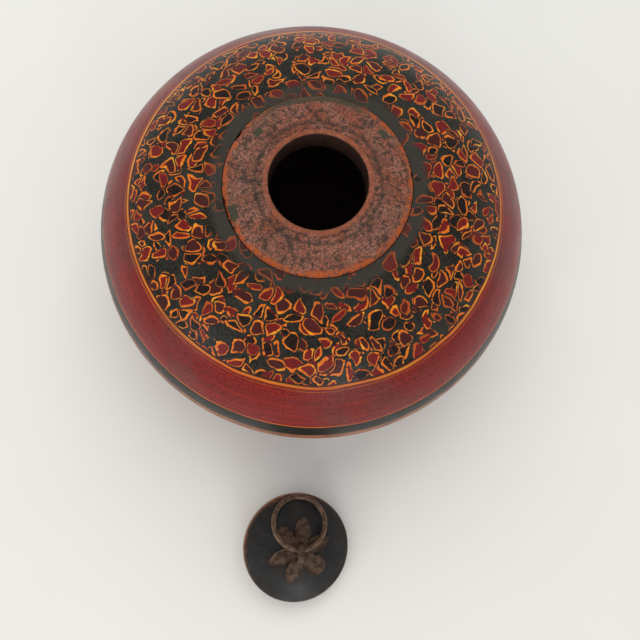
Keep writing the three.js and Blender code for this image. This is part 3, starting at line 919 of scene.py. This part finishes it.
def petal_reach(turn):
    """Radius of the rosette's outline in a direction, and how far that is from a petal's rib."""
    sector = math.tau / len(PETALS)
    index = round((turn - ROSETTE_TURN) / sector) % len(PETALS)
    lean, length, point = PETALS[index]
    away = (turn - ROSETTE_TURN - index * sector + math.pi) % math.tau - math.pi
    along = max(-1.0, min(1.0, away / (sector / 2)))
    bowed = along - math.radians(lean) / (sector / 2) * (1 - along ** 2)
    swell = max(0.0, 1 - abs(bowed) ** point) ** 0.72
    return ROSETTE_VALLEY + (length * MM - ROSETTE_VALLEY) * swell, bowed * sector / 2


class BOX_OT_rosette(bpy.types.Operator):
    """Form the six-petalled sheet over the dome"""

    bl_idname = "lidded_box.rosette"
    bl_label = "Rosette"

    def execute(self, context):
        around, across = 240, 18
        bpy.ops.object.select_all(action="DESELECT")
        bpy.ops.mesh.primitive_grid_add(x_subdivisions=around, y_subdivisions=across, size=1)
        piece = bpy.context.object
        piece.name = "rosette_piece"
        piece.data.name = piece.name
        middle = SEAT_GAP + ROSETTE_THICKNESS / 2
        for vertex in piece.data.vertices:
            turn = (vertex.co.x + 0.5) * math.tau
            share = vertex.co.y + 0.5
            reach, aside = petal_reach(turn)
            r = PIN_BORE + (reach - PIN_BORE) * share
            rib = math.exp(-((r * aside / (0.7 * MM)) ** 2)) * min(1, 3 * share) * 0.22 * MM
            curl = 0.34 * MM * math.exp(-(((1 - share) * (reach - PIN_BORE) / (0.8 * MM)) ** 2))
            z = dome_height(r, middle) + rib * (1 - share ** 3) + curl
            z += 0.1 * MM * (1 + noise.noise(Vector((r * math.cos(turn), r * math.sin(turn), 0)) * 260))
            vertex.co = (r * math.cos(turn), r * math.sin(turn), z)
        bpy.ops.object.mode_set(mode="EDIT")
        tidy_faces(60)
        apply_modifier(piece, "SOLIDIFY", thickness=ROSETTE_THICKNESS * 0.9, offset=0)
        apply_modifier(piece, "BEVEL", width=0.16 * MM, segments=2, limit_method="ANGLE",
                       angle_limit=math.radians(50))
        bpy.ops.object.mode_set(mode="EDIT")
        tidy_faces(40, merge=False)
        piece.data.transform(LID)
        finish_piece(piece, "lid", "old_metal", [fitting_material("old_sheet_metal", 1.25, 0.55)])
        return {"FINISHED"}


def pin_half_line():
    """Centre line of half the strip, from the eye's top to one leg's tip, in (y, z)."""
    end = EYE_LENGTH / 2 - PIN_THICKNESS / 2 - EYE_HALF_HEIGHT
    eye = arc_points((end, PIVOT_HEIGHT), EYE_HALF_HEIGHT, 90, -90, 20)
    lowest = -PLUG_DEPTH - LEG_DROP + PIN_THICKNESS / 2
    tip = -PLUG_DEPTH - SEAT_GAP - PIN_THICKNESS / 2
    bend = PIN_THICKNESS
    throat = arc_points((LEG_LINE + bend, EYE_FLOOR - bend), bend, 90, 180, 8)
    leg = [(LEG_LINE, -PLUG_DEPTH), (LEG_LINE + 0.2 * MM, lowest + 1.1 * MM),
           (LEG_LINE + 0.6 * MM, lowest + 0.3 * MM), (LEG_LINE + LEG_BULGE, lowest),
           (LEG_SPREAD * 0.4, lowest + 0.3 * MM),
           (LEG_SPREAD * 0.55, lowest + 0.4 * (tip - lowest)),
           (LEG_SPREAD * 0.8, lowest + 0.8 * (tip - lowest)), (LEG_SPREAD, tip)]
    return [(0, PIVOT_HEIGHT + EYE_HALF_HEIGHT), *eye, *throat, *leg]


class BOX_OT_split_pin(bpy.types.Operator):
    """Fold the strip that holds the ring and the rosette"""

    bl_idname = "lidded_box.split_pin"
    bl_label = "Split pin"

    def execute(self, context):
        half = pin_half_line()
        line = [(-y, z) for y, z in reversed(half[1:])] + half
        points = [(-PIN_WIDTH / 2, y, z) for y, z in line]
        piece = start_line("split_pin_piece", points[0])
        draw_line(points)
        bpy.ops.mesh.select_all(action="SELECT")
        bpy.ops.mesh.extrude_region_move(TRANSFORM_OT_translate={"value": (PIN_WIDTH, 0, 0)})
        tidy_faces(60)
        apply_modifier(piece, "SOLIDIFY", thickness=PIN_THICKNESS * 0.96, offset=0)
        apply_modifier(piece, "BEVEL", width=0.2 * MM, segments=3, limit_method="ANGLE",
                       angle_limit=math.radians(50))
        bpy.ops.object.mode_set(mode="EDIT")
        tidy_faces(45, merge=False)
        piece.data.transform(LID)
        finish_piece(piece, "lid", "old_metal", [fitting_material("old_strip_metal", 1.4, 0.6)])
        return {"FINISHED"}


class BOX_OT_ring_pull(bpy.types.Operator):
    """Bend the wire of the ring pull, with its butt seam"""

    bl_idname = "lidded_box.ring_pull"
    bl_label = "Ring pull"

    def execute(self, context):
        bpy.ops.object.select_all(action="DESELECT")
        bpy.ops.mesh.primitive_circle_add(vertices=28, radius=RING_WIRE * 0.99, fill_type="NGON",
                                          location=(RING_RADIUS, 0, 0),
                                          rotation=(math.pi / 2, 0, 0))
        piece = bpy.context.object
        piece.name = "ring_pull_piece"
        piece.data.name = piece.name
        bpy.ops.object.transform_apply(location=True, rotation=True)
        bpy.ops.object.mode_set(mode="EDIT")
        bpy.ops.mesh.select_all(action="SELECT")
        turn = math.tau - RING_SEAM / RING_RADIUS
        bpy.ops.mesh.spin(steps=180, angle=turn, center=(0, 0, 0), axis=(0, 0, 1))
        tidy_faces(50)
        for vertex in piece.data.vertices:
            vertex.co += 0.03 * MM * noise.noise_vector(vertex.co * 110)
        apply_modifier(piece, "BEVEL", width=0.25 * MM, segments=3, limit_method="ANGLE",
                       angle_limit=math.radians(60))
        seam = Matrix.Rotation(RING_SEAM_ANGLE + RING_SEAM / RING_RADIUS / 2, 4, "Z")
        swung = Matrix.Rotation(-RING_SLOPE, 4, "X") @ Matrix.Translation((0, RING_RADIUS, 0))
        held = Matrix.Translation((0, PIVOT_OFFSET, PIVOT_HEIGHT))
        piece.data.transform(LID @ held @ swung @ seam)
        bpy.ops.object.mode_set(mode="EDIT")
        tidy_faces(50)
        finish_piece(piece, "ring", "old_metal", [fitting_material("rubbed_ring_metal", 1.9, 1.0)])
        return {"FINISHED"}


def floor_material():
    """Pale paper floor with the faintest fibre."""
    material, graph, shader, place = new_material("pale_floor")
    point = graph.times(place, 1 / MM)
    cloud = graph.noise(point, 0.01, 2.0)[0]
    colour = graph.mix(cloud, (0.80, 0.80, 0.765), (0.775, 0.77, 0.735))
    grain = graph.noise(point, 0.8, 3.0)[0]
    finish_shader(graph, shader, colour, 0.8, grain, 0.02 * MM, Specular_IOR_Level=0.2)
    return material


def soft_lamp(name, place, size, power, colour, mirrored=False):
    """Area lamp that faces the box; only a mirrored one shows in glossy surfaces."""
    data = bpy.data.lights.new(name, "AREA")
    data.shape = "RECTANGLE"
    data.size, data.size_y = size
    data.energy = power
    data.color = colour
    lamp = bpy.data.objects.new(name, data)
    lamp.location = place
    aim = Vector((0, 0, 0.05)) - Vector(place)
    lamp.rotation_euler = aim.to_track_quat("-Z", "Y").to_euler()
    lamp.visible_glossy = mirrored
    bpy.context.scene.collection.objects.link(lamp)


class BOX_OT_stage(bpy.types.Operator):
    """Set up the camera, the pale floor and the soft light"""

    bl_idname = "lidded_box.stage"
    bl_label = "Stage"

    def execute(self, context):
        scene = context.scene
        bpy.ops.object.select_all(action="DESELECT")
        bpy.ops.mesh.primitive_plane_add(size=8, location=(0, 0, -0.1 * MM))
        floor = context.object
        floor.name = "floor"
        floor.data.materials.append(floor_material())

        world = bpy.data.worlds.new("soft_room")
        world.use_nodes = True
        sky = world.node_tree.nodes["Background"]
        sky.inputs["Color"].default_value = (0.98, 0.985, 1.0, 1)
        room = Graph(world.node_tree)
        mirrored = room.add("ShaderNodeLightPath", {}).outputs["Is Glossy Ray"]
        room.feed(sky.inputs["Strength"], room.blend(mirrored, 0.69, 0.27))
        scene.world = world
        soft_lamp("key", (-0.2, 0.75, 1.1), (1.5, 1.3), 9.2, (1.0, 0.985, 0.95))
        soft_lamp("warm_fill", (0.0, -1.1, 0.3), (0.9, 0.3), 3.0, (1.0, 0.70, 0.42))
        soft_lamp("window_left", (-0.62, -0.95, 0.42), (0.22, 0.34), 1.5, (0.8, 0.9, 1.0), True)
        soft_lamp("window_right", (0.46, -1.0, 0.42), (0.22, 0.34), 1.5, (0.8, 0.9, 1.0), True)

        data = bpy.data.cameras.new("photo_view")
        data.lens = CAMERA_LENS
        data.sensor_width = 36
        camera = bpy.data.objects.new("photo_view", data)
        right, up = Vector(CAMERA_RIGHT), Vector(CAMERA_UP)
        turned = Matrix((right, up, right.cross(up))).transposed().to_4x4()
        camera.matrix_world = Matrix.Translation(CAMERA_PLACE) @ turned
        scene.collection.objects.link(camera)
        scene.camera = camera
        scene.view_settings.view_transform = "Standard"
        return {"FINISHED"}


OPERATORS = (BOX_OT_stage, BOX_OT_bowl, BOX_OT_shoulder, BOX_OT_collar, BOX_OT_lid_disc,
             BOX_OT_rosette, BOX_OT_split_pin, BOX_OT_ring_pull)


class BOX_PT_sidebar(bpy.types.Panel):
    """Lists the pieces of the box and its sizes and colours"""

    bl_label = "Lidded Box"
    bl_idname = "BOX_PT_sidebar"
    bl_space_type = "VIEW_3D"
    bl_region_type = "UI"
    bl_category = "Lidded Box"

    def draw(self, context):
        for operator in OPERATORS:
            self.layout.operator(operator.bl_idname)
        for group in (sizes(), colours()):
            for name in group.__annotations__:
                self.layout.prop(group, name)


CLASSES = (BoxSizes, BoxColours, *OPERATORS, BOX_PT_sidebar)


def register():
    for made in CLASSES:
        bpy.utils.register_class(made)
    bpy.types.Scene.lidded_box_sizes = bpy.props.PointerProperty(type=BoxSizes)
    bpy.types.Scene.lidded_box_colours = bpy.props.PointerProperty(type=BoxColours)


def unregister():
    del bpy.types.Scene.lidded_box_colours
    del bpy.types.Scene.lidded_box_sizes
    for made in reversed(CLASSES):
        bpy.utils.unregister_class(made)


def main():
    register()
    for operator in OPERATORS:
        group, name = operator.bl_idname.split(".")
        getattr(getattr(bpy.ops, group), name)()


if __name__ == "__main__":
    main()
